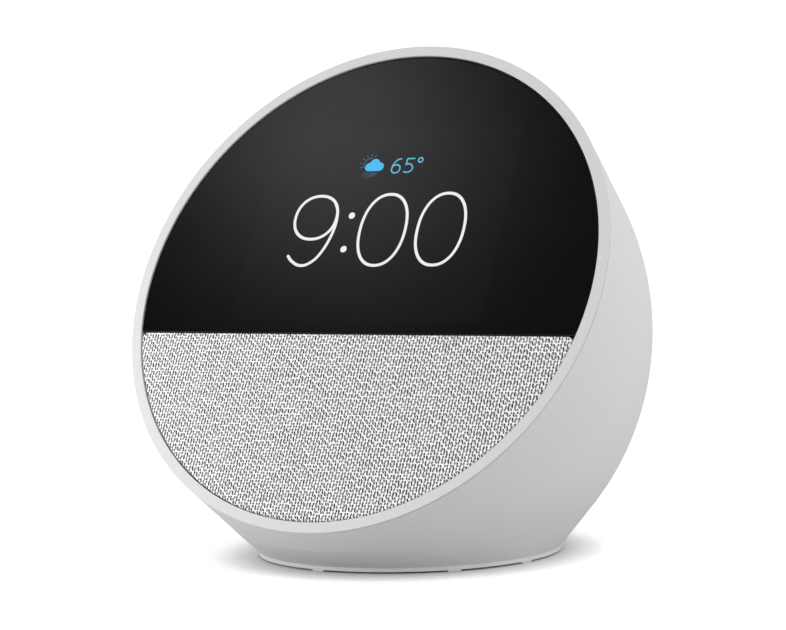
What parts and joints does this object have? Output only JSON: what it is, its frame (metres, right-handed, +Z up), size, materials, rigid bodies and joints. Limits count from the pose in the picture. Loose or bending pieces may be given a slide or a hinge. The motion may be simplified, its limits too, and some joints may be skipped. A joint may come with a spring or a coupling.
{
  "type": "smart display",
  "caption": "Small table-top smart display: tilted round face with a black touch lens over a fabric speaker grille, on a rounded white body with a flat base.",
  "frame": {"origin": "centre of the foot pad, on the surface that it stands on", "axes": "+Z up, -Y towards the viewer in front of the face, +X to the viewer's right"},
  "size_m": [0.113, 0.1028, 0.1091],
  "materials": {
    "shell_white": "fine moulded texture, matte white",
    "ring_white": "smooth satin white",
    "button_white": "satin white with moulded icons",
    "lens_black": "polished black glass-like lens",
    "fabric_grey": "light grey open knit",
    "chassis_black": "moulded black plastic",
    "grille_dark": "perforated dark plastic",
    "tape_black": "foam tape",
    "panel_metal": "thin stamped frame with dark glass",
    "steel_plate": "zinc plated sheet",
    "screw_steel": "black zinc screws",
    "flex_amber": "polyimide flex circuit",
    "rubber_black": "matte black rubber",
    "basket_black": "glass-filled black plastic",
    "cone_paper": "coated paper cone",
    "coil_copper": "enamelled copper winding",
    "spider_cloth": "resin treated cloth",
    "magnet_ferrite": "dark ferrite",
    "lead_red": "insulated wire",
    "board_green": "solder mask with traces",
    "connector_ivory": "moulded nylon",
    "can_tin": "tinned shield can",
    "pad_blue": "soft gap filler",
    "spreader_alu": "extruded aluminium",
    "antenna_board": "small printed antenna board",
    "contact_gold": "gold plated",
    "inlet_black": "matte black plastic",
    "base_grey": "matte white moulding",
    "ballast_steel": "plated steel disc"
  },
  "bodies": {
    "root": {"rear_shell": "shell_white", "bezel_ring": "ring_white", "front_lens": "lens_black", "lens_tape": "tape_black", "display_panel": "panel_metal", "display_backplate": "steel_plate", "backplate_screws": "screw_steel", "display_flex": "flex_amber", "front_chassis": "chassis_black", "chassis_screws": "screw_steel", "grille_frame": "grille_dark", "grille_fabric": "fabric_grey", "speaker_gasket": "rubber_black", "speaker_basket": "basket_black", "speaker_surround": "rubber_black", "speaker_spider": "spider_cloth", "speaker_top_plate": "steel_plate", "speaker_magnet": "magnet_ferrite", "speaker_yoke": "steel_plate", "speaker_enclosure": "chassis_black", "speaker_screws": "screw_steel", "speaker_leads": "lead_red", "main_board": "board_green", "board_connectors": "connector_ivory", "board_screws": "screw_steel", "shield_can": "can_tin", "thermal_pad": "pad_blue", "heat_spreader": "spreader_alu", "wifi_antennas": "antenna_board", "button_bracket": "chassis_black", "button_flex": "flex_amber", "tact_switches": "connector_ivory", "microphones": "contact_gold", "microphone_gaskets": "rubber_black", "power_jack": "inlet_black", "jack_pin": "contact_gold", "inlet_collar": "inlet_black", "power_lead": "inlet_black", "base_plate": "base_grey", "base_screws": "screw_steel", "ballast_disc": "ballast_steel", "foot_pad": "rubber_black"},
    "volume_down": {"volume_down_button": "button_white"},
    "mic_off": {"mic_off_button": "button_white"},
    "volume_up": {"volume_up_button": "button_white"},
    "cone": {"speaker_cone": "cone_paper", "voice_coil": "coil_copper"}
  },
  "joints": [
    {"name": "volume_down_press", "type": "slide", "parent": "root", "child": "volume_down", "axis": [0.2924, -0.4563, -0.8404], "range_m": [0, 0.0005], "stiffness_N_per_m": 1500, "springref_m": -0.0002},
    {"name": "mic_off_press", "type": "slide", "parent": "root", "child": "mic_off", "axis": [0, -0.4772, -0.8788], "range_m": [0, 0.0005], "stiffness_N_per_m": 1500, "springref_m": -0.0002},
    {"name": "volume_up_press", "type": "slide", "parent": "root", "child": "volume_up", "axis": [-0.2924, -0.4563, -0.8404], "range_m": [0, 0.0005], "stiffness_N_per_m": 1500, "springref_m": -0.0002},
    {"name": "cone_travel", "type": "slide", "parent": "root", "child": "cone", "axis": [0, -0.8788, 0.4772], "range_m": [-0.0006, 0.0006], "stiffness_N_per_m": 1200}
  ]
}
